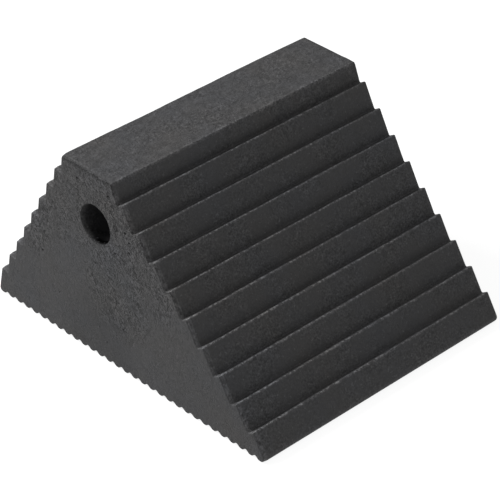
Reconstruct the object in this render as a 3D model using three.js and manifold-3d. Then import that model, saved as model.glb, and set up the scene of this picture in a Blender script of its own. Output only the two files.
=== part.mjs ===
// A wheel chock for trucks and trailers: one solid block of moulded rubber.
//
// The block has one section all along its length: a ribbed tyre slope in front, a steeper ribbed
// slope behind, a flat top, and a base of small round teeth.  One round bore runs through it, for a
// rope or a hanging rod.  Nothing is joined to the rubber, so the whole chock is one solid.
//
// Millimetres.  X runs along the bore, -Y is the tyre side, +Z is up.  The origin is on the ground,
// under the middle of the base.

import * as THREE from 'three';
import { mergeVertices } from 'three/addons/utils/BufferGeometryUtils.js';
import Module from 'manifold-3d';

const wasm = await Module();
wasm.setup();

// Overall size: the base is measured over its rounded heels
const LENGTH = 203;
const BASE = 244.6;
const HEIGHT = 135;

// Flat top, between the two slopes
const TOP_FRONT = 5.7;
const TOP_BACK = 50.9;

// Tyre slope: hooked ribs, whose lips lie on a slightly hollow line.  A ledge runs from a rib's
// lip back to its root.
const FRONT = {
  ribs: 9,
  firstLip: new THREE.Vector2(-3.8, 125),
  lastLip: new THREE.Vector2(-113.1, 18.9),
  ledge: new THREE.Vector2(4.5, -2.9),
  hollow: 1.6,
};

// Back slope: steeper, with its ribs on a straight line
const BACK = {
  ribs: 8,
  firstLip: new THREE.Vector2(58.6, 122.4),
  lastLip: new THREE.Vector2(118.4, 19.9),
  ledge: new THREE.Vector2(-5.9, -0.8),
  hollow: 0,
};

// Roundings of the section
const LIP_ROUND = 1.3;
const ROOT_ROUND = 1;
const TOP_ROUND = 1.5;
const HEEL_ROUND = 3.2;

// Base teeth: each crown has a narrow flat that stands on the ground
const TEETH = 31;
const TOOTH_PITCH = BASE / TEETH;
const TOOTH_DEPTH = 1.9;
const TOOTH_LAND = 0.8;
const TOOTH_GAP = 1.5;

// Bore, whose centre is given in Y and Z, and how far its space stands past the end faces
const BORE_RADIUS = 12.5;
const BORE_CENTRE = new THREE.Vector2(21.9, 99);
const BORE_OVERRUN = 1;

// Rounding of the two end faces and of the bore's mouths
const END_ROUND = 1.25;

// Facets
const CORNER_STEPS = 3;
const FLANK_STEPS = 2;
const BORE_STEPS = 32;
const END_STEPS = 2;

// A corner of the section, rounded by an arc that touches both of its sides
function roundCorner(before, corner, after, radius) {
  const toBefore = before.clone().sub(corner).normalize();
  const toAfter = after.clone().sub(corner).normalize();
  const half = Math.acos(toBefore.dot(toAfter)) / 2;
  const middle = toBefore.clone().add(toAfter).normalize();
  const centre = corner.clone().addScaledVector(middle, radius / Math.sin(half));
  const start = corner.clone().addScaledVector(toBefore, radius / Math.tan(half));
  const sweep = (Math.PI - 2 * half) * Math.sign(toAfter.cross(toBefore));
  const points = [];
  for (let step = 0; step <= CORNER_STEPS; step += 1) {
    points.push(start.clone().rotateAround(centre, sweep * step / CORNER_STEPS));
  }
  return points;
}

// Corners of a ribbed slope from the top down: each rib is a root, then a lip
function ribCorners({ ribs, firstLip, lastLip, ledge, hollow }) {
  const run = lastLip.clone().sub(firstLip);
  const inward = new THREE.Vector2(-run.y, run.x).normalize();
  const corners = [];
  for (let rib = 0; rib < ribs; rib += 1) {
    const along = rib / (ribs - 1);
    const lip = firstLip.clone().addScaledVector(run, along);
    lip.addScaledVector(inward, hollow * 4 * along * (1 - along));
    corners.push({ at: lip.clone().add(ledge), round: ROOT_ROUND });
    corners.push({ at: lip, round: LIP_ROUND });
  }
  return corners;
}

// The sharp corner of a heel, so far out that its rounding ends where the base does
function heelCorner(side, lastLip) {
  let out = BASE / 2;
  for (let pass = 0; pass < 4; pass += 1) {
    const slope = Math.atan2(lastLip.y, out - side * lastLip.x);
    out = BASE / 2 + HEEL_ROUND * (1 / Math.tan(slope / 2) - 1);
  }
  return { at: new THREE.Vector2(side * out, 0), round: HEEL_ROUND };
}

// Half of a base tooth, from its root to its land or from its land to its root
function toothFlank(middle, side) {
  const reach = (TOOTH_PITCH - TOOTH_GAP - TOOTH_LAND) / 2;
  const sweep = 2 * Math.atan2(TOOTH_DEPTH, reach);
  const radius = reach / Math.sin(sweep);
  const points = [];
  for (let step = 0; step <= FLANK_STEPS; step += 1) {
    const angle = sweep * step / FLANK_STEPS;
    const out = TOOTH_LAND / 2 + radius * Math.sin(angle);
    points.push(new THREE.Vector2(middle + side * out, radius * (1 - Math.cos(angle))));
  }
  return side > 0 ? points : points.reverse();
}

// The toothed base from front to back: the heels are the outer halves of the two end teeth
function basePoints() {
  const points = [];
  for (let tooth = 0; tooth < TEETH; tooth += 1) {
    const middle = (tooth + 0.5) * TOOTH_PITCH - BASE / 2;
    if (tooth > 0) {
      points.push(...toothFlank(middle, -1));
    }
    if (tooth < TEETH - 1) {
      points.push(...toothFlank(middle, 1));
    }
  }
  return points;
}

// The whole section, anticlockwise with Y to the right and Z up, from the back heel on
function sectionPoints() {
  const corners = [
    heelCorner(1, BACK.lastLip),
    ...ribCorners(BACK).reverse(),
    { at: new THREE.Vector2(TOP_BACK, HEIGHT), round: TOP_ROUND },
    { at: new THREE.Vector2(TOP_FRONT, HEIGHT), round: TOP_ROUND },
    ...ribCorners(FRONT),
    heelCorner(-1, FRONT.lastLip),
  ];
  const points = [];
  corners.forEach((corner, index) => {
    const before = corners.at(index - 1);
    const after = corners[(index + 1) % corners.length];
    points.push(...roundCorner(before.at, corner.at, after.at, corner.round));
  });
  points.push(...basePoints());
  return points;
}

// The block without its bore: the section, run along X between two rounded ends
function blockGeometry() {
  const geometry = new THREE.ExtrudeGeometry(new THREE.Shape(sectionPoints()), {
    depth: LENGTH - 2 * END_ROUND,
    bevelThickness: END_ROUND,
    bevelSize: END_ROUND,
    bevelOffset: -END_ROUND,
    bevelSegments: END_STEPS,
  });
  geometry.translate(0, 0, END_ROUND - LENGTH / 2);

  // The section lies in X and Y and runs along Z here: turn it into Y and Z, running along X
  const turn = new THREE.Matrix4().makeBasis(
    new THREE.Vector3(0, 1, 0),
    new THREE.Vector3(0, 0, 1),
    new THREE.Vector3(1, 0, 0),
  );
  return geometry.applyMatrix4(turn);
}

// The space of the bore: a rod that flares at both mouths and stands past both end faces
function boreGeometry() {
  const face = LENGTH / 2;
  const mouth = [new THREE.Vector2(0, face + BORE_OVERRUN)];
  mouth.push(new THREE.Vector2(BORE_RADIUS + END_ROUND, face + BORE_OVERRUN));
  for (let step = 0; step <= END_STEPS; step += 1) {
    const angle = Math.PI / 2 * step / END_STEPS;
    const radius = BORE_RADIUS + END_ROUND * (1 - Math.sin(angle));
    mouth.push(new THREE.Vector2(radius, face - END_ROUND * (1 - Math.cos(angle))));
  }
  const otherMouth = mouth.map((point) => new THREE.Vector2(point.x, -point.y));
  const geometry = new THREE.LatheGeometry([...otherMouth, ...mouth.reverse()], BORE_STEPS);
  geometry.rotateZ(-Math.PI / 2);
  geometry.translate(0, BORE_CENTRE.x, BORE_CENTRE.y);
  return geometry;
}

function solidOf(geometry) {
  geometry.deleteAttribute('normal');
  geometry.deleteAttribute('uv');
  const merged = mergeVertices(geometry);
  return new wasm.Manifold(new wasm.Mesh({
    numProp: 3,
    vertProperties: merged.attributes.position.array,
    triVerts: merged.index.array,
  }));
}

function geometryOf(solid) {
  const { vertProperties, triVerts } = solid.getMesh();
  const geometry = new THREE.BufferGeometry();
  geometry.setAttribute('position', new THREE.BufferAttribute(vertProperties, 3));
  geometry.setIndex(new THREE.BufferAttribute(triVerts, 1));
  geometry.computeVertexNormals();
  return geometry;
}

const rubber = new THREE.MeshStandardMaterial({ color: 0x343436, roughness: 0.85, metalness: 0 });

const bored = solidOf(blockGeometry()).subtract(solidOf(boreGeometry()));

const block = new THREE.Mesh(geometryOf(bored), rubber);
block.name = 'chock_body';

const chock = new THREE.Group();
chock.add(block);

export default chock;
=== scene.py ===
# The looks of a rubber wheel chock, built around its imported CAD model.
#
# The chock is one moulding, so it is one piece here too.  It has the section of the CAD block with
# finer arcs, swept between two rounded ends, with the waves, nicks and pits of a moulding made of
# rubber crumb, and a procedural rubber.
#
# The block is worked out in millimetres, and becomes metres when its mesh is made.  A point of its
# section is a complex number: Y is the real part, and Z is the imaginary part.

import math
import random
from types import SimpleNamespace

import bpy
import numpy as np
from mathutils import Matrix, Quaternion, Vector, geometry, noise


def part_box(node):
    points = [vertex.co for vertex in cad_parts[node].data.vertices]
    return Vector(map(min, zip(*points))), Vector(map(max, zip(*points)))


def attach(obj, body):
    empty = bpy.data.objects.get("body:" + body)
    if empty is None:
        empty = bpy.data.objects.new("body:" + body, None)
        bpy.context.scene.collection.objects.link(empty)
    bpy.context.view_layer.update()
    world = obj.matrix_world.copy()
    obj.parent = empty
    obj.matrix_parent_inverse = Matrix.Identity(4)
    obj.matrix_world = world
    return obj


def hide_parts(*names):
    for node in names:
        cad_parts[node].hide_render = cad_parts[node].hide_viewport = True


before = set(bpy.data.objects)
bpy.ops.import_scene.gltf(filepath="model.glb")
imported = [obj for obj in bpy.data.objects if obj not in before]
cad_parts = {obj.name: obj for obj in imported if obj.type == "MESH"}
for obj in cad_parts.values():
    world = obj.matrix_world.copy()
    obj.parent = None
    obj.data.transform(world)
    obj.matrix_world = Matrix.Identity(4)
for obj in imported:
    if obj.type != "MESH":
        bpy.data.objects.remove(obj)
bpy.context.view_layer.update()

MM = 0.001

# Overall size, from the frame
LOW, HIGH = (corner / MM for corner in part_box("chock_body"))
HALF_LENGTH = (HIGH.x - LOW.x) / 2
BASE = HIGH.y - LOW.y
BASE_MIDDLE = (HIGH.y + LOW.y) / 2
HEIGHT = HIGH.z

# Section: a slope's lips lie from the first to the last, and each ledge leads from a lip to its root
TOP_FRONT = 5.7 + 1j * HEIGHT
TOP_BACK = 50.9 + 1j * HEIGHT
FRONT_RIBS = {"count": 9, "first": -3.8 + 125.0j, "last": -113.1 + 18.9j, "ledge": 4.5 - 2.9j, "hollow": 1.6}
BACK_RIBS = {"count": 8, "first": 58.6 + 122.4j, "last": 118.4 + 19.9j, "ledge": -5.9 - 0.8j, "hollow": 0.0}
TEETH = 31
TOOTH_DEPTH = 1.9
TOOTH_BLUNTNESS = 1.8

# Roundings, and the steps of each rounding's arc
LIP_ROUND = 0.8
ROOT_ROUND = 0.8
TOP_ROUND = 1.3
HEEL_ROUND = 3.2
SMALLEST_ROUND = 0.2
LIP_STEPS = 6
ROOT_STEPS = 4
END_STEPS = 5

# Ends: past its rounded edge, the near one, at -X, has a tapered band with a line of flash along it.
# The mesh has rows of its own over the band and a margin past it.
NEAR_END = {"round": 0.8, "taper": 0.4, "band": 3.6, "rows": 11}
FAR_END = {"round": 1.7, "taper": 0.0, "band": 1.7, "rows": 0}
BAND_MARGIN = 0.8
FLASH_DEPTH = 2.6
EDGE_DEPTH = 1.0

# Bore
BORE_CENTRE = 21.9 + 99j
BORE_RADIUS = 12.5
MOUTH = {"round": 0.5, "taper": 0.9, "band": 2.8, "rows": 4}
MOUTH_RADIUS = BORE_RADIUS + MOUTH["round"] + MOUTH["taper"]
BORE_POINTS = 72

# The lips carry a painted highlight, partly their wear: palest at the near end, and by this share of it at
# the far end
FAR_LIP_WEAR_AND_HIGHLIGHT = 0.5

# The bore gets painted shade near its mouths, from the first depth outwards and fully from the second:
# most on the side towards -Y and down, and by this share of it all round
MOUTH_SHADE_DEPTHS = (16, 5)
MOUTH_SHADE_SIDE = -0.5 - 0.87j
MOUTH_SHADE_ALL_ROUND = 0.35

# Where the grain of the end faces is strong, and where they are a little darker, low in the middle
GRAINY_PATCHES = (
    {"at": 6 + 108j, "radius": 58},
    {"at": 4 + 56j, "radius": 38},
    {"at": -26 + 80j, "radius": 32},
    {"at": 64 + 98j, "radius": 36},
    {"at": 84 + 70j, "radius": 26},
)
DARKER_PATCHES = (
    {"at": 22 + 24j, "radius": 34},
    {"at": 26 + 5j, "radius": 44},
)

# Pits of the near end, how many stray pits each end may get, and how many radii of a pit get its
# own rings of points
RING_MARK = {"at": 3.0 + 105.2j, "radius": 2.0, "depth": 0.5, "ring": True}
NEAR_PITS = (
    -5.5 + 105.6j,
    -8.7 + 100.1j,
    -8.3 + 92.8j,
    4.6 + 86.4j,
    8.6 + 124.9j,
    36.6 + 125.2j,
    52.4 + 122.8j,
)
STRAY_PITS = 14
PIT_REACH = 1.35

# Spacing of the mesh, and the least gap between two of its points
FACE_SPACING = 2.4
ROW_SPACING = 2.0
BORE_SPACING = 5.0
CAP_SPACING = 1.9
TOOTH_POINTS = 8
LEAST_GAP = 1e-7


def add_to_scene(name, data):
    made = bpy.data.objects.new(name, data)
    bpy.context.scene.collection.objects.link(made)
    return made


# ---------------------------------------------------------------- section

def corner_arc(before, corner, after, radius, steps, inset):
    """The arc that rounds a corner of the section, once both of its sides have moved in by inset."""
    to_before = (before - corner) / abs(before - corner)
    to_after = (after - corner) / abs(after - corner)
    turn = np.angle(to_after / to_before)
    half = abs(turn) / 2
    middle = (to_before + to_after) / abs(to_before + to_after)
    bulge = -math.copysign(1, turn)
    corner = corner + bulge * middle * inset / math.sin(half)
    radius = max(radius - bulge * inset, SMALLEST_ROUND)
    centre = corner + middle * radius / math.sin(half)
    start = corner + to_before * radius / math.tan(half)
    sweep = bulge * (math.pi - abs(turn))
    return centre + (start - centre) * np.exp(1j * sweep * np.linspace(0, 1, steps + 1))


def lip_corners(ribs):
    """Sharp lips of a ribbed slope from the top down, on a slightly hollow line."""
    along = np.linspace(0, 1, ribs["count"])
    run = ribs["last"] - ribs["first"]
    inward = 1j * run / abs(run)
    return ribs["first"] + run * along + inward * ribs["hollow"] * 4 * along * (1 - along)


def rib_corners(ribs):
    """Corners of a ribbed slope from the top down: each rib is a root, then a lip."""
    corners = []
    for lip in lip_corners(ribs):
        corners.append((lip + ribs["ledge"], ROOT_ROUND, ROOT_STEPS))
        corners.append((lip, LIP_ROUND, LIP_STEPS))
    return corners


def heel_corner(side, last_lip):
    """The sharp corner of a heel, so far out that its rounding ends where the base does.

    How far out it is depends on the slope, and the slope on how far out it is: both soon settle.
    """
    out = BASE / 2
    for _ in range(4):
        slope = math.atan2(last_lip.imag, out - side * last_lip.real)
        out = BASE / 2 + HEEL_ROUND * (1 / math.tan(slope / 2) - 1)
    return side * out + 0j, HEEL_ROUND, LIP_STEPS


def base_line(inset):
    """The scalloped base from front to back: the heels are the outer halves of the end teeth."""
    steps = (TEETH - 1) * TOOTH_POINTS
    phase = np.linspace(0, 2 * math.pi * (TEETH - 1), steps + 1)
    pitch = BASE / TEETH
    across = pitch / 2 - BASE / 2 + pitch * phase / (2 * math.pi)
    line = across + 1j * TOOTH_DEPTH * ((1 - np.cos(phase)) / 2) ** TOOTH_BLUNTNESS
    tangent = np.gradient(line)
    return line + 1j * inset * tangent / abs(tangent)


def corner_outline(inset):
    """The section's roundings and base line, anticlockwise with Y to the right, from the back heel."""
    corners = [heel_corner(1, BACK_RIBS["last"])]
    corners += rib_corners(BACK_RIBS)[::-1]
    corners += [(TOP_BACK, TOP_ROUND, LIP_STEPS), (TOP_FRONT, TOP_ROUND, LIP_STEPS)]
    corners += rib_corners(FRONT_RIBS)
    corners += [heel_corner(-1, FRONT_RIBS["last"])]
    arcs = []
    for index, (corner, radius, steps) in enumerate(corners):
        before = corners[index - 1][0]
        after = corners[(index + 1) % len(corners)][0]
        arcs.append(corner_arc(before, corner, after, radius, steps, inset))
    return np.concatenate([*arcs, base_line(inset)]) + BASE_MIDDLE


def section_outline(inset):
    """The whole section, with the same points at each inset.

    Its long stretches get extra points, which are closer together near the corners.
    """
    plain = corner_outline(0)
    sides = abs(np.roll(plain, -1) - plain)
    pieces = np.maximum(1, np.ceil(sides / FACE_SPACING)).astype(int)
    outline = corner_outline(inset)
    points = []
    for start, end, count in zip(outline, np.roll(outline, -1), pieces):
        share = (1 - np.cos(math.pi * np.arange(count) / count)) / 2
        points.extend(start + (end - start) * share)
    return np.array(points)


def bore_outline(radius):
    return BORE_CENTRE + radius * np.exp(2j * math.pi * np.arange(BORE_POINTS) / BORE_POINTS)


# ---------------------------------------------------------------- mesh of the block

def end_stations(end):
    """Depths of the rings of one end, from its face inwards, and how far each ring is drawn in."""
    angle = np.linspace(math.pi / 2, 0, END_STEPS + 1)
    rounded = end["round"] * (1 - np.sin(angle))
    drawn_in = end["round"] * (1 - np.cos(angle)) + end["taper"]
    band = np.linspace(end["round"], end["band"] + BAND_MARGIN, end["rows"] + 1)[1:]
    width = end["band"] - end["round"] or 1
    tapered = end["taper"] * np.maximum(end["band"] - band, 0) / width
    return np.concatenate([rounded, band]), np.concatenate([drawn_in, tapered])


def stations(near, far, spacing):
    """Places along X from end to end, and how far a ring is drawn in by the shape of the ends there."""
    near_depth, near_inset = end_stations(near)
    far_depth, far_inset = end_stations(far)
    start, stop = near_depth[-1] - HALF_LENGTH, HALF_LENGTH - far_depth[-1]
    middle = np.linspace(start, stop, math.ceil((stop - start) / spacing) + 1)[1:-1]
    x = np.concatenate([near_depth - HALF_LENGTH, middle, HALF_LENGTH - far_depth[::-1]])
    inset = np.concatenate([near_inset, np.zeros(len(middle)), far_inset[::-1]])
    return x, inset


def ring_points(x, outlines):
    """Points of one outline at each X, as an array of rings by points by coordinates."""
    outlines = np.asarray(outlines)
    across = np.broadcast_to(np.asarray(x)[:, None], outlines.shape)
    return np.stack([across, outlines.real, outlines.imag], axis=-1)


def wall_quads(indices):
    """Quads between neighbouring rings, facing away from the inside of an anticlockwise ring."""
    here, beyond = indices[:-1], indices[1:]
    quads = [here, np.roll(here, -1, axis=1), np.roll(beyond, -1, axis=1), beyond]
    return np.stack(quads, axis=-1).reshape(-1, 4)


def is_inside(points, outline):
    """Whether each point is inside the closed outline, by counting sides crossed on the way out."""
    start, end = outline[None, :], np.roll(outline, -1)[None, :]
    height = points.imag[:, None]
    spans = (start.imag > height) != (end.imag > height)
    rise = np.where(end.imag == start.imag, 1, end.imag - start.imag)
    crossing = start.real + (height - start.imag) * (end.real - start.real) / rise
    return (spans & (points.real[:, None] < crossing)).sum(axis=1) % 2 == 1


def pit_points(pit):
    """Rings of points over a pit, close enough to hold its shape."""
    turn = np.exp(2j * math.pi * np.arange(10) / 10)
    rings = [pit["at"] + pit["radius"] * share * turn for share in (0.35, 0.7, 1.0, PIT_REACH)]
    return np.concatenate([[pit["at"]], *rings])


def cap_points(outer, pits):
    """Points spread over an end face, off its outline and the bore, and denser at the pits."""
    row_height = CAP_SPACING * math.sqrt(3) / 2
    rows = np.arange(0, HEIGHT, row_height)
    across = np.arange(-BASE / 2, BASE / 2, CAP_SPACING)
    grid = across[None, :] + 1j * rows[:, None]
    grid[1::2] += CAP_SPACING / 2
    points = grid.ravel()
    points = points[is_inside(points, outer)]
    for pit in pits:
        points = points[abs(points - pit["at"]) > pit["radius"] * PIT_REACH + CAP_SPACING / 3]
    points = np.concatenate([points, *[pit_points(pit) for pit in pits]])
    to_outline = abs(points[:, None] - outer[None, :]).min(axis=1)
    clear_of_bore = abs(points - BORE_CENTRE) > MOUTH_RADIUS + CAP_SPACING / 2
    return points[(to_outline > CAP_SPACING / 2) & clear_of_bore]


def cap_triangles(outer, hole, inner):
    """Triangles over an end face between its outline and the bore, anticlockwise."""
    points = [Vector((point.real, point.imag)) for point in np.concatenate([outer, hole, inner])]
    edges = []
    for start, count in ((0, len(outer)), (len(outer), len(hole))):
        edges += [(start + i, start + (i + 1) % count) for i in range(count)]
    inside_with_holes = 2
    rim = [list(range(len(outer)))]
    made = geometry.delaunay_2d_cdt(points, edges, rim, inside_with_holes, LEAST_GAP)
    source = np.array([origins[0] for origins in made[3]])
    return source[np.array(made[2])]


def block_mesh(pits):
    """Points and faces of the whole block, with no wear yet."""
    x, insets = stations(NEAR_END, FAR_END, ROW_SPACING)
    outlines = {inset: section_outline(inset) for inset in set(insets)}
    walls = ring_points(x, [outlines[inset] for inset in insets])
    bore_x, bore_inset = stations(MOUTH, MOUTH, BORE_SPACING)
    bore = ring_points(bore_x, [bore_outline(BORE_RADIUS + flare) for flare in bore_inset])

    wall_index = np.arange(walls.shape[0] * walls.shape[1]).reshape(walls.shape[:2])
    bore_index = wall_index.size + np.arange(bore.shape[0] * bore.shape[1]).reshape(bore.shape[:2])
    points = [walls.reshape(-1, 3), bore.reshape(-1, 3)]
    faces = wall_quads(wall_index).tolist() + wall_quads(bore_index)[:, ::-1].tolist()
    total = wall_index.size + bore_index.size

    for end in (0, -1):
        outer = walls[end, :, 1] + 1j * walls[end, :, 2]
        hole = bore[end, :, 1] + 1j * bore[end, :, 2]
        inner = cap_points(outer, pits[end])
        index = np.concatenate([wall_index[end], bore_index[end], total + np.arange(len(inner))])
        triangles = index[cap_triangles(outer, hole, inner)]
        if end == 0:
            triangles = triangles[:, ::-1]
        faces += triangles.tolist()
        points.append(ring_points([x[end]], [inner])[0])
        total += len(inner)
    return np.concatenate(points), faces


# ---------------------------------------------------------------- wear and flaws of the moulding

def waves(points, size, seed):
    """Smooth noise from about -1 to 1, with swells of about the given size in millimetres."""
    shift = Vector((31.7, 12.9, 53.1)) * seed
    return np.array([noise.noise(Vector(point) / size + shift) for point in points])


def fade(value, start, end):
    """0 at start and beyond it, 1 at end and beyond it, and smooth in between."""
    share = np.clip((value - start) / (end - start), 0, 1)
    return share * share * (3 - 2 * share)


def make_pits():
    """Pits of both end faces: a ring mark and some listed pits at the near end, and strays."""
    near = [RING_MARK] + [{"at": at, "radius": 1.2, "depth": 0.8, "ring": False} for at in NEAR_PITS]
    far = []
    chance = random.Random(5)
    for pits in (near, far):
        for _ in range(STRAY_PITS):
            at = complex(chance.uniform(-70, 80), chance.uniform(14, 90))
            radius = chance.uniform(0.8, 1.4)
            is_alone = all(abs(at - pit["at"]) > 8 for pit in pits)
            is_behind_front_slope = at.real > (at.imag - 110) * 0.8
            if is_alone and is_behind_front_slope:
                pits.append({"at": at, "radius": radius, "depth": radius * 0.45, "ring": False})
    return {0: near, -1: far}


def pit_depths(points, pits):
    """How deep the pits are at each point, in millimetres, and 0 off the end faces."""
    depths = np.zeros(len(points))
    section = points[:, 1] + 1j * points[:, 2]
    for end, side in ((0, -1), (-1, 1)):
        on_face = points[:, 0] * side > HALF_LENGTH - 0.2
        for pit in pits[end]:
            out = abs(section - pit["at"]) / pit["radius"]
            if pit["ring"]:
                shape = np.exp(-((out - 0.85) / 0.3) ** 2)
            else:
                shape = np.clip(1 - out ** 2, 0, 1) ** 1.5
            depths = np.maximum(depths, pit["depth"] * shape * on_face)
    return depths


def in_patches(section, patches):
    """1 well inside any of some round patches of the section, and 0 outside them all."""
    shares = np.zeros(len(section))
    for patch in patches:
        shares = np.maximum(shares, fade(abs(section - patch["at"]), patch["radius"], patch["radius"] * 0.4))
    return shares


def nearest(section, corners):
    """How far each point of the section is from the nearest of some corners."""
    away = np.full(len(section), np.inf)
    for corner in corners:
        away = np.minimum(away, abs(section - corner))
    return away


def line_at(depth, middle, half_width):
    """1 where the depth from an end face is the middle of a fine line, and 0 well off it."""
    return np.exp(-((depth - middle) / half_width) ** 2)


def zones(points, pits):
    """Where each point is on the block, as shares from 0 to 1, and how deep the pits are there."""
    section = points[:, 1] + 1j * points[:, 2]
    lips = np.concatenate([lip_corners(FRONT_RIBS), lip_corners(BACK_RIBS)])
    depth = HALF_LENGTH - abs(points[:, 0])
    at_near_end = points[:, 0] < 0
    on_end = fade(depth, EDGE_DEPTH, 0.1)
    from_bore = section - BORE_CENTRE
    off_bore = fade(abs(from_bore), BORE_RADIUS + 0.4, MOUTH_RADIUS)
    on_shaded_side = fade((from_bore / abs(from_bore) / MOUTH_SHADE_SIDE).real, 0, 0.9)
    mouth_shade = MOUTH_SHADE_ALL_ROUND + (1 - MOUTH_SHADE_ALL_ROUND) * on_shaded_side
    top_edge = fade(points[:, 2], HEIGHT - 5, HEIGHT - 3)
    from_corner = np.hypot(depth, HEIGHT - points[:, 2])
    # Lips: a painted highlight, partly wear, strongest at the near end
    lip_wear_and_highlight = FAR_LIP_WEAR_AND_HIGHLIGHT + (1 - FAR_LIP_WEAR_AND_HIGHLIGHT) * fade(points[:, 0], HALF_LENGTH, -HALF_LENGTH)
    flash_at = FLASH_DEPTH + 0.3 * waves(points, 16, 8)
    return {
        "lip": fade(nearest(section, lips), 1.2, 0.5) * lip_wear_and_highlight,
        "rim": fade(nearest(section, (TOP_FRONT, TOP_BACK)), 1.6, 0.6),
        "end": on_end * off_bore,
        "grainy": on_end * off_bore * in_patches(section, GRAINY_PATCHES),
        "darker_patch": on_end * off_bore * in_patches(section, DARKER_PATCHES),
        "top": fade(points[:, 2], HEIGHT - 2.2, HEIGHT - 0.6),
        "base": fade(points[:, 2], 3.0, 0.5),
        # Painted shade in the bore's mouths
        "mouth": (1 - off_bore) * fade(depth, *MOUTH_SHADE_DEPTHS) * mouth_shade,
        "pit": pit_depths(points, pits),
        "sunk_edge": fade(from_corner, 2.2, 1.3) * fade(waves(points, 5, 7), -0.9, -0.2),
        "flash": line_at(depth, flash_at, 0.3) * (1 - top_edge) * off_bore * at_near_end,
        "band": fade(depth, flash_at + 1.3, 0.4) * (1 - on_end) * (1 - top_edge) * off_bore * at_near_end,
    }


def moulding_relief(points, zone):
    """How far each point stands out of the smooth block, in millimetres."""
    swell = 0.30 * waves(points, 55, 1)
    lumps = (0.12 * waves(points, 17, 2) + 0.05 * waves(points, 6, 3)) * (1 - 0.8 * zone["end"])
    nicks = -0.35 * zone["lip"] * fade(waves(points, 7, 4), 0.25, 0.6)
    lip_wave = 0.12 * zone["lip"] * waves(points, 9, 5)
    rough_top = 0.06 * zone["top"] * waves(points, 6, 6)

    # The top edge of each end is broken and sunk a little, and the mould's flash leaves a fine
    # uneven ridge along the other edges of the near end
    seams = 0.12 * zone["flash"] - 0.2 * zone["sunk_edge"]
    worn = swell + lumps + nicks + lip_wave + rough_top + seams
    return (1 - zone["base"]) * worn - zone["pit"]


def vertex_normals(mesh):
    normals = np.empty(len(mesh.vertices) * 3, np.float32)
    mesh.vertex_normals.foreach_get("vector", normals)
    return normals.reshape(-1, 3)


def make_block():
    """The chock's mesh object, worn and with the zones that its rubber reads as attributes."""
    pits = make_pits()
    points, faces = block_mesh(pits)
    mesh = bpy.data.meshes.new("rubber_block")
    mesh.from_pydata(points * MM, [], faces)
    zone = zones(points, pits)
    points = points + vertex_normals(mesh) * moulding_relief(points, zone)[:, None]
    points[:, 2] = np.maximum(points[:, 2], 0)
    mesh.vertices.foreach_set("co", (points * MM).astype(np.float32).ravel())
    mesh.update()
    mesh.shade_smooth()
    for name, share in zone.items():
        attribute = mesh.attributes.new(name, "FLOAT", "POINT")
        attribute.data.foreach_set("value", share.astype(np.float32))
    return add_to_scene("rubber_block", mesh)


# ---------------------------------------------------------------- rubber

WARM_BLACK = (0.0262, 0.0246, 0.0232, 1)
COOL_BLACK = (0.0230, 0.0242, 0.0272, 1)
FLOW_ANGLE = math.radians(-52)
FLOW_STRETCH = (1, 0.55, 1.05)


class Graph:
    """A material's nodes, made by short calls that each return an output socket."""

    def __init__(self, material):
        material.use_nodes = True
        self.tree = material.node_tree
        self.shader = self.tree.nodes["Principled BSDF"]

    def node(self, kind, output=0, inputs=(), **settings):
        made = self.tree.nodes.new(kind)
        for name, value in settings.items():
            setattr(made, name, value)
        for name, value in dict(inputs).items():
            if isinstance(value, bpy.types.NodeSocket):
                self.tree.links.new(value, made.inputs[name])
            else:
                made.inputs[name].default_value = value
        return made.outputs[output]

    def zone(self, name):
        return self.node("ShaderNodeAttribute", "Fac", attribute_name=name)

    def math(self, operation, first, second):
        return self.node("ShaderNodeMath", inputs={0: first, 1: second}, operation=operation)

    def scaled(self, value, low, high, to_low, to_high):
        """The value from low to high, as a number from to_low to to_high."""
        ends = {"Value": value, "From Min": low, "From Max": high, "To Min": to_low, "To Max": to_high}
        return self.node("ShaderNodeMapRange", inputs=ends)

    def noise(self, place, size, detail, roughness=0.5, distortion=0.0):
        """Noise from 0 to 1 with grains of about the given size in millimetres."""
        grains = {"Vector": place, "Scale": 1 / size, "Detail": detail}
        character = {"Roughness": roughness, "Distortion": distortion}
        return self.node("ShaderNodeTexNoise", "Fac", inputs={**grains, **character})

    def mixed(self, share, first, second):
        """The first colour where the share is 0, and the second where it is 1."""
        ends = {0: share, 6: first, 7: second}
        return self.node("ShaderNodeMix", 2, inputs=ends, data_type="RGBA")

    def total(self, *values):
        result = values[0]
        for value in values[1:]:
            result = self.math("ADD", result, value)
        return result

    def product(self, *values):
        result = values[0]
        for value in values[1:]:
            result = self.math("MULTIPLY", result, value)
        return result

    def where(self, share, value):
        """The value where the share is 1, and 1 where the share is 0."""
        return self.node("ShaderNodeMix", 0, inputs={0: share, 2: 1.0, 3: value}, data_type="FLOAT")


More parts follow.
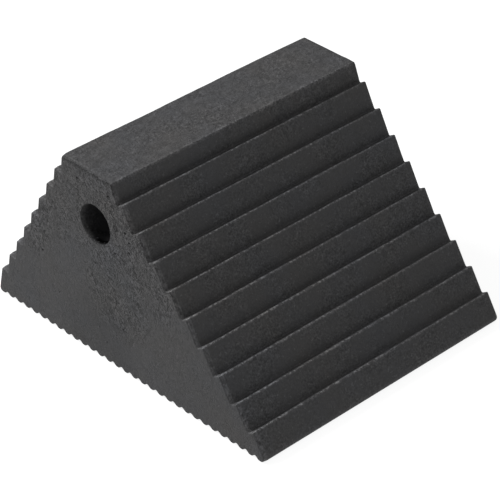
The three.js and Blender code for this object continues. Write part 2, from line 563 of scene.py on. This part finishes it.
def crumb_noises(graph):
    """Noises of the rubber's crumb, and how rough and how worm-marked it is from place to place."""
    metres = graph.node("ShaderNodeTexCoord", "Object")
    place = graph.node("ShaderNodeMapping", inputs={"Vector": metres, "Scale": (1 / MM,) * 3})

    # The crumb flowed down the tyre slope: its worms run that way on the ends
    turned = graph.node("ShaderNodeMapping", inputs={"Vector": place, "Rotation": (FLOW_ANGLE, 0, 0)})
    flow = graph.node("ShaderNodeMapping", inputs={"Vector": turned, "Scale": FLOW_STRETCH})
    worms = graph.noise(flow, 1.5, 2, 0.6, 1.2)

    end = graph.zone("end")
    return SimpleNamespace(
        patches=graph.noise(place, 28, 2),
        blotches=graph.noise(place, 9, 3),
        smears=graph.noise(place, 5, 3, 0.6, 0.8),
        crumbs=graph.noise(place, 2.6, 3, 0.6, 0.6),
        lip_wear_and_glints=graph.noise(place, 1.7, 3, 0.6),
        specks=graph.noise(place, 1.7, 1),
        grain=graph.noise(place, 1.2, 3, 0.6),
        rough=graph.product(
            graph.scaled(graph.noise(place, 24, 2), 0.42, 0.60, 0.3, 1.0),
            graph.scaled(end, 0.0, 1.0, 1.0, 0.4),
        ),
        worm_marks=graph.scaled(worms, 0.36, 0.58, 1.0, 0.0),
        worm_share=graph.product(
            graph.total(graph.product(end, 0.22), graph.product(graph.zone("grainy"), 0.78)),
            graph.scaled(graph.noise(place, 8, 1), 0.38, 0.50, 0.5, 1.0),
        ),
    )


def rubber_tone(graph, crumb):
    """How light the rubber is from place to place, against its tint, with painted light and shade in it."""
    mottle_and_painted_light = graph.product(
        graph.scaled(crumb.blotches, 0.3, 0.7, 0.90, 1.10),
        graph.where(crumb.rough, graph.scaled(crumb.crumbs, 0.3, 0.7, 0.65, 1.35)),
        graph.where(crumb.rough, graph.scaled(crumb.grain, 0.3, 0.7, 0.40, 1.60)),
        graph.where(graph.zone("top"), graph.scaled(crumb.smears, 0.35, 0.65, 0.76, 1.24)),
        graph.where(crumb.worm_share, graph.scaled(crumb.worm_marks, 0.0, 1.0, 1.75, 0.18)),
        # Painted light: the near end's tapered band is made paler, as if lit
        graph.where(graph.zone("band"), graph.scaled(crumb.crumbs, 0.40, 0.60, 1.0, 2.3)),
        # Painted light: the end faces are made a little lighter
        graph.where(graph.zone("end"), 1.05),
    )
    darkened = graph.product(
        graph.where(graph.zone("darker_patch"), 0.80),
        # Painted shade along the sunk top edge of each end
        graph.where(graph.zone("sunk_edge"), 0.4),
        # Painted shade in the pits and the ring mark
        graph.where(graph.scaled(graph.zone("pit"), 0.0, 0.5, 0.0, 1.0), 0.45),
        # Painted shade: the bore's mouths are made near black
        graph.where(graph.zone("mouth"), 0.03),
    )
    # Pale marks: the lips' painted highlight and glints, partly their wear, with pale grain along the top
    # rims, the flash line and stray specks
    pale_marks_and_highlights = graph.total(
        graph.product(graph.zone("lip"), graph.scaled(crumb.lip_wear_and_glints, 0.45, 0.61, 0.4, 4.0)),
        graph.product(graph.zone("rim"), graph.scaled(crumb.grain, 0.46, 0.66, 0.3, 1.5)),
        graph.product(graph.zone("flash"), 0.5),
        graph.scaled(crumb.specks, 0.66, 0.72, 0.0, 0.6),
    )
    return graph.total(graph.product(mottle_and_painted_light, darkened), pale_marks_and_highlights)


def rubber_normal(graph, crumb):
    """The fine relief of the crumb, in millimetres, as a bumped normal."""
    height = graph.total(
        graph.product(crumb.grain, 0.08),
        graph.product(crumb.crumbs, crumb.rough, 0.3),
        graph.product(crumb.crumbs, graph.zone("top"), 0.65),
        graph.product(crumb.worm_marks, crumb.worm_share, -0.9),
    )
    return graph.node("ShaderNodeBump", inputs={"Height": height, "Distance": MM, "Strength": 1.0})


def make_rubber():
    """Black rubber from moulded crumb: mottled, grained along its flow, with lips pale from a painted
    highlight and partly from wear, and painted shade in the bore's mouths.
    """
    material = bpy.data.materials.new("moulded_rubber")
    graph = Graph(material)
    crumb = crumb_noises(graph)
    tint = graph.mixed(crumb.patches, WARM_BLACK, COOL_BLACK)
    tone = {0: tint, "Scale": rubber_tone(graph, crumb)}
    looks = {
        "Base Color": graph.node("ShaderNodeVectorMath", inputs=tone, operation="SCALE"),
        "Roughness": graph.scaled(crumb.blotches, 0.3, 0.7, 0.58, 0.72),
        "Normal": rubber_normal(graph, crumb),
        # The painted shade of the bore's mouths takes their sheen away too
        "Specular IOR Level": graph.scaled(graph.zone("mouth"), 0.0, 1.0, 0.23, 0.0),
    }
    for name, socket in looks.items():
        graph.tree.links.new(socket, graph.shader.inputs[name])
    return material


# ---------------------------------------------------------------- studio

VIEW_AZIMUTH = math.radians(-43.12)
VIEW_ELEVATION = math.radians(34.52)
VIEW_ROLL = math.radians(-0.62)
VIEW_DISTANCE = 1.5562
AIM = Vector((-0.0035, -0.0077, 0.0483))
LENS = 180.7

FLOOR_HALF_WIDTH = 6.0
FLOOR_COLOUR = (0.15, 0.15, 0.15, 1)
FLOOR_GLOW = 0.88
SKY_LIGHT = 0.70
KEY = {"name": "key", "from": Vector((-0.36, 0.65, 0.67)), "distance": 2.2, "size": 0.76, "power": 84.0}
FILL = {"name": "fill", "from": Vector((-0.15, -0.45, 0.12)), "distance": 0.49, "size": 0.2, "power": 0.22}


def add_camera():
    data = bpy.data.cameras.new("camera")
    data.lens = LENS
    camera = add_to_scene("camera", data)
    level = math.cos(VIEW_ELEVATION)
    back = Vector((math.sin(VIEW_AZIMUTH) * level, -math.cos(VIEW_AZIMUTH) * level, math.sin(VIEW_ELEVATION)))
    camera.location = AIM + back * VIEW_DISTANCE
    camera.rotation_mode = "QUATERNION"
    roll = Quaternion((0, 0, 1), VIEW_ROLL)
    camera.rotation_quaternion = (-back).to_track_quat("-Z", "Y") @ roll
    bpy.context.scene.camera = camera


def add_floor():
    half = FLOOR_HALF_WIDTH
    corners = [(-half, -half, 0), (half, -half, 0), (half, half, 0), (-half, half, 0)]
    mesh = bpy.data.meshes.new("floor")
    mesh.from_pydata(corners, [], [(0, 1, 2, 3)])
    paper = bpy.data.materials.new("white_paper")
    paper.use_nodes = True
    shader = paper.node_tree.nodes["Principled BSDF"]
    shader.inputs["Base Color"].default_value = FLOOR_COLOUR
    shader.inputs["Roughness"].default_value = 0.9
    shader.inputs["Specular IOR Level"].default_value = 0.0
    shader.inputs["Emission Color"].default_value = (1, 1, 1, 1)
    shader.inputs["Emission Strength"].default_value = FLOOR_GLOW
    mesh.materials.append(paper)
    add_to_scene("floor", mesh)


def add_lamp(lamp):
    data = bpy.data.lights.new(lamp["name"], "AREA")
    data.shape = "DISK"
    data.size = lamp["size"]
    data.energy = lamp["power"]
    made = add_to_scene(lamp["name"], data)
    made.location = AIM + lamp["from"].normalized() * lamp["distance"]
    made.rotation_euler = lamp["from"].to_track_quat("Z", "Y").to_euler()
    made.visible_camera = False


def add_lights():
    world = bpy.data.worlds.new("soft_white_room")
    world.use_nodes = True
    world.node_tree.nodes["Background"].inputs["Color"].default_value = (1, 1, 1, 1)
    world.node_tree.nodes["Background"].inputs["Strength"].default_value = SKY_LIGHT
    bpy.context.scene.world = world
    add_lamp(KEY)
    add_lamp(FILL)


block = make_block()
block.data.materials.append(make_rubber())
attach(block, "root")
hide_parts("chock_body")

add_floor()
add_lights()
add_camera()
bpy.context.scene.view_settings.view_transform = "Standard"
